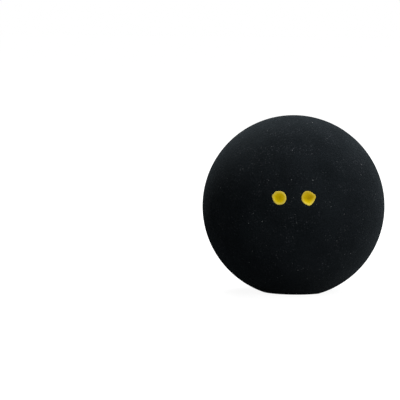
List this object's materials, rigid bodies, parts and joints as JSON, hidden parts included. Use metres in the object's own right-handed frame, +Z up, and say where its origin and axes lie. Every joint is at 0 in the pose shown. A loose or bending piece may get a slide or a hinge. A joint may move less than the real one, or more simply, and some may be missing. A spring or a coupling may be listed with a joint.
{
  "type": "squash ball",
  "caption": "Hollow black rubber ball of two cemented half shells, with two printed speed dots on the front and a plain printed mark on the back.",
  "frame": {"origin": "centre of the ball", "axes": "+Z up as the ball stands in the picture, -Y towards the two dots, +Y towards the printed mark, +X to the right as the dots are looked at; the seam between the half shells lies in the plane Y = 0"},
  "size_m": [0.04, 0.0401, 0.04],
  "materials": {
    "rubber": "buffed matt black",
    "rubber_cement": "dull dark cement",
    "dot_ink": "satin yellow ink",
    "print_ink": "matt pale blue-grey ink"
  },
  "bodies": {
    "root": {"front_half_shell": "rubber", "rear_half_shell": "rubber", "seam_cement": "rubber_cement", "left_dot": "dot_ink", "right_dot": "dot_ink", "printed_emblem": "print_ink", "printed_arcs": "print_ink", "printed_pips": "print_ink"}
  },
  "joints": []
}
